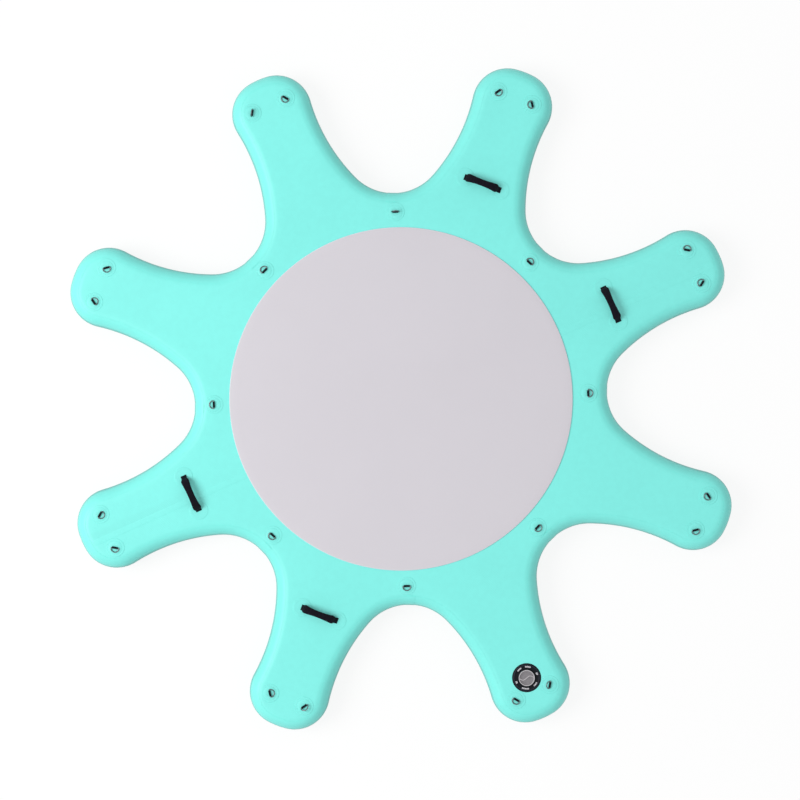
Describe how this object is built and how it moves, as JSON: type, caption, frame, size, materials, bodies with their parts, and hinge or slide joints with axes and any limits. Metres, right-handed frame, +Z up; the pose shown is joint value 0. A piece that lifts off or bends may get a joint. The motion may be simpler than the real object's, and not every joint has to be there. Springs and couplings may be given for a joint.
{
  "type": "inflatable yoga platform",
  "caption": "Star-shaped inflatable platform for floating exercise, with a round standing pad, tether rings on glued patches, carry handles and an air valve.",
  "frame": {"origin": "on the ground under the centre of the star, in the middle of the underside", "axes": "+Z up, out of the deck; +X through the gap between the arms 7 and 0, +Y through the gap between the arms 1 and 2"},
  "size_m": [2.7992, 2.7992, 0.1902],
  "materials": {
    "turquoise_skin": "satin coated fabric",
    "white_cloth": "woven",
    "deck_foam": "matte foam",
    "polished_steel": "polished",
    "black_webbing": "woven webbing",
    "grip_cover": "foam sleeve in a knitted cover",
    "grey_plastic": "moulded",
    "white_plastic": "moulded",
    "black_rubber": "matte",
    "black_surround": "satin coated fabric"
  },
  "bodies": {
    "root": {"base_cloth_a": "white_cloth", "base_cloth_b": "white_cloth", "deck_pad": "deck_foam", "drop_threads_a": "white_cloth", "drop_threads_b": "white_cloth", "handle_grip_0": "grip_cover", "handle_grip_1": "grip_cover", "handle_grip_4": "grip_cover", "handle_grip_5": "grip_cover", "handle_strap_0": "black_webbing", "handle_strap_1": "black_webbing", "handle_strap_4": "black_webbing", "handle_strap_5": "black_webbing", "lower_seam_tape": "turquoise_skin", "lower_skin_a": "turquoise_skin", "lower_skin_b": "turquoise_skin", "side_wall_0": "turquoise_skin", "side_wall_1": "turquoise_skin", "side_wall_2": "turquoise_skin", "side_wall_3": "turquoise_skin", "side_wall_4": "turquoise_skin", "side_wall_5": "turquoise_skin", "side_wall_6": "turquoise_skin", "side_wall_7": "turquoise_skin", "upper_seam_tape": "turquoise_skin", "upper_skin_a": "turquoise_skin", "upper_skin_b": "turquoise_skin", "valve_body": "grey_plastic", "valve_nut": "grey_plastic", "valve_spring": "polished_steel", "valve_surround": "black_surround"},
    "d_ring_arm_0_left": {"d_ring_arm_0_left": "polished_steel"},
    "d_ring_arm_0_right": {"d_ring_arm_0_right": "polished_steel"},
    "d_ring_arm_1_left": {"d_ring_arm_1_left": "polished_steel"},
    "d_ring_arm_1_right": {"d_ring_arm_1_right": "polished_steel"},
    "d_ring_arm_2_left": {"d_ring_arm_2_left": "polished_steel"},
    "d_ring_arm_2_right": {"d_ring_arm_2_right": "polished_steel"},
    "d_ring_arm_3_left": {"d_ring_arm_3_left": "polished_steel"},
    "d_ring_arm_3_right": {"d_ring_arm_3_right": "polished_steel"},
    "d_ring_arm_4_left": {"d_ring_arm_4_left": "polished_steel"},
    "d_ring_arm_4_right": {"d_ring_arm_4_right": "polished_steel"},
    "d_ring_arm_5_left": {"d_ring_arm_5_left": "polished_steel"},
    "d_ring_arm_5_right": {"d_ring_arm_5_right": "polished_steel"},
    "d_ring_arm_6_left": {"d_ring_arm_6_left": "polished_steel"},
    "d_ring_arm_6_right": {"d_ring_arm_6_right": "polished_steel"},
    "d_ring_arm_7_left": {"d_ring_arm_7_left": "polished_steel"},
    "d_ring_arm_7_right": {"d_ring_arm_7_right": "polished_steel"},
    "d_ring_gap_0": {"d_ring_gap_0": "polished_steel"},
    "d_ring_gap_1": {"d_ring_gap_1": "polished_steel"},
    "d_ring_gap_2": {"d_ring_gap_2": "polished_steel"},
    "d_ring_gap_3": {"d_ring_gap_3": "polished_steel"},
    "d_ring_gap_4": {"d_ring_gap_4": "polished_steel"},
    "d_ring_gap_5": {"d_ring_gap_5": "polished_steel"},
    "d_ring_gap_6": {"d_ring_gap_6": "polished_steel"},
    "d_ring_gap_7": {"d_ring_gap_7": "polished_steel"},
    "stem": {"valve_stem": "white_plastic", "valve_seal": "black_rubber"},
    "leash": {"cap_leash": "black_rubber"},
    "cap": {"valve_cap": "grey_plastic"}
  },
  "joints": [
    {"name": "d_ring_arm_0_left_swing", "type": "hinge", "parent": "root", "child": "d_ring_arm_0_left", "pos_m": [1.2375, 0.5971, 0.15635], "axis": [0.9763, -0.2164, 0], "range_deg": [0, 191.93]},
    {"name": "d_ring_arm_0_right_swing", "type": "hinge", "parent": "root", "child": "d_ring_arm_0_right", "pos_m": [1.29726, 0.45283, 0.15635], "axis": [-0.5373, -0.8434, 0], "range_deg": [-191.93, 0]},
    {"name": "d_ring_arm_1_left_swing", "type": "hinge", "parent": "root", "child": "d_ring_arm_1_left", "pos_m": [0.45283, 1.29726, 0.15635], "axis": [0.8434, 0.5373, 0], "range_deg": [-191.93, 0]},
    {"name": "d_ring_arm_1_right_swing", "type": "hinge", "parent": "root", "child": "d_ring_arm_1_right", "pos_m": [0.5971, 1.2375, 0.15635], "axis": [0.2164, -0.9763, 0], "range_deg": [-191.93, 0]},
    {"name": "d_ring_arm_2_left_swing", "type": "hinge", "parent": "root", "child": "d_ring_arm_2_left", "pos_m": [-0.5971, 1.2375, 0.15635], "axis": [0.2164, 0.9763, 0], "range_deg": [-89.96, 101.96]},
    {"name": "d_ring_arm_2_right_swing", "type": "hinge", "parent": "root", "child": "d_ring_arm_2_right", "pos_m": [-0.45283, 1.29726, 0.15635], "axis": [0.8434, -0.5373, 0], "range_deg": [-191.93, 0]},
    {"name": "d_ring_arm_3_left_swing", "type": "hinge", "parent": "root", "child": "d_ring_arm_3_left", "pos_m": [-1.29726, 0.45283, 0.15635], "axis": [-0.5373, 0.8434, 0], "range_deg": [-191.93, 0]},
    {"name": "d_ring_arm_3_right_swing", "type": "hinge", "parent": "root", "child": "d_ring_arm_3_right", "pos_m": [-1.2375, 0.5971, 0.15635], "axis": [0.9763, 0.2164, 0], "range_deg": [-191.93, 0]},
    {"name": "d_ring_arm_4_left_swing", "type": "hinge", "parent": "root", "child": "d_ring_arm_4_left", "pos_m": [-1.2375, -0.5971, 0.15635], "axis": [-0.9763, 0.2164, 0], "range_deg": [0, 191.93]},
    {"name": "d_ring_arm_4_right_swing", "type": "hinge", "parent": "root", "child": "d_ring_arm_4_right", "pos_m": [-1.29726, -0.45283, 0.15635], "axis": [0.5373, 0.8434, 0], "range_deg": [-191.93, 0]},
    {"name": "d_ring_arm_5_left_swing", "type": "hinge", "parent": "root", "child": "d_ring_arm_5_left", "pos_m": [-0.45283, -1.29726, 0.15635], "axis": [-0.8434, -0.5373, 0], "range_deg": [-40.96, 150.96]},
    {"name": "d_ring_arm_5_right_swing", "type": "hinge", "parent": "root", "child": "d_ring_arm_5_right", "pos_m": [-0.5971, -1.2375, 0.15635], "axis": [-0.2164, 0.9763, 0], "range_deg": [-191.93, 0]},
    {"name": "d_ring_arm_6_left_swing", "type": "hinge", "parent": "root", "child": "d_ring_arm_6_left", "pos_m": [0.5971, -1.2375, 0.15635], "axis": [-0.2164, -0.9763, 0], "range_deg": [-145.96, 45.96]},
    {"name": "d_ring_arm_6_right_swing", "type": "hinge", "parent": "root", "child": "d_ring_arm_6_right", "pos_m": [0.45283, -1.29726, 0.15635], "axis": [-0.8434, 0.5373, 0], "range_deg": [0, 191.93]},
    {"name": "d_ring_arm_7_left_swing", "type": "hinge", "parent": "root", "child": "d_ring_arm_7_left", "pos_m": [1.29726, -0.45284, 0.15635], "axis": [0.5373, -0.8434, 0], "range_deg": [-191.93, 0]},
    {"name": "d_ring_arm_7_right_swing", "type": "hinge", "parent": "root", "child": "d_ring_arm_7_right", "pos_m": [1.2375, -0.5971, 0.15635], "axis": [-0.9763, -0.2164, 0], "range_deg": [0, 191.93]},
    {"name": "d_ring_gap_0_swing", "type": "hinge", "parent": "root", "child": "d_ring_gap_0", "pos_m": [0.798, 0, 0.15635], "axis": [0, -1, 0], "range_deg": [0, 191.93]},
    {"name": "d_ring_gap_1_swing", "type": "hinge", "parent": "root", "child": "d_ring_gap_1", "pos_m": [0.56427, 0.56427, 0.15635], "axis": [0.7071, -0.7071, 0], "range_deg": [0, 191.93]},
    {"name": "d_ring_gap_2_swing", "type": "hinge", "parent": "root", "child": "d_ring_gap_2", "pos_m": [0, 0.798, 0.15635], "axis": [1, 0, 0], "range_deg": [-89.96, 101.96]},
    {"name": "d_ring_gap_3_swing", "type": "hinge", "parent": "root", "child": "d_ring_gap_3", "pos_m": [-0.56427, 0.56427, 0.15635], "axis": [0.7071, 0.7071, 0], "range_deg": [0, 191.93]},
    {"name": "d_ring_gap_4_swing", "type": "hinge", "parent": "root", "child": "d_ring_gap_4", "pos_m": [-0.798, 0, 0.15635], "axis": [0, 1, 0], "range_deg": [0, 191.93]},
    {"name": "d_ring_gap_5_swing", "type": "hinge", "parent": "root", "child": "d_ring_gap_5", "pos_m": [-0.56427, -0.56427, 0.15635], "axis": [-0.7071, 0.7071, 0], "range_deg": [0, 191.93]},
    {"name": "d_ring_gap_6_swing", "type": "hinge", "parent": "root", "child": "d_ring_gap_6", "pos_m": [0, -0.798, 0.15635], "axis": [-1, 0, 0], "range_deg": [0, 191.93]},
    {"name": "d_ring_gap_7_swing", "type": "hinge", "parent": "root", "child": "d_ring_gap_7", "pos_m": [0.56427, -0.56427, 0.15635], "axis": [-0.7071, -0.7071, 0], "range_deg": [0, 191.93]},
    {"name": "stem_press", "type": "slide", "parent": "root", "child": "stem", "axis": [0, 0, -1], "range_m": [0, 0.006], "stiffness_N_per_m": 600, "springref_m": -0.004, "deforming": ["valve_spring"]},
    {"name": "cap_turn", "type": "hinge", "parent": "root", "child": "leash", "pos_m": [0.49896, -1.2046, 0.1558], "axis": [0, 0, 1], "range_deg": [0, 90]},
    {"name": "cap_lift", "type": "slide", "parent": "leash", "child": "cap", "axis": [0, 0, 1], "range_m": [0, 0.03]}
  ]
}
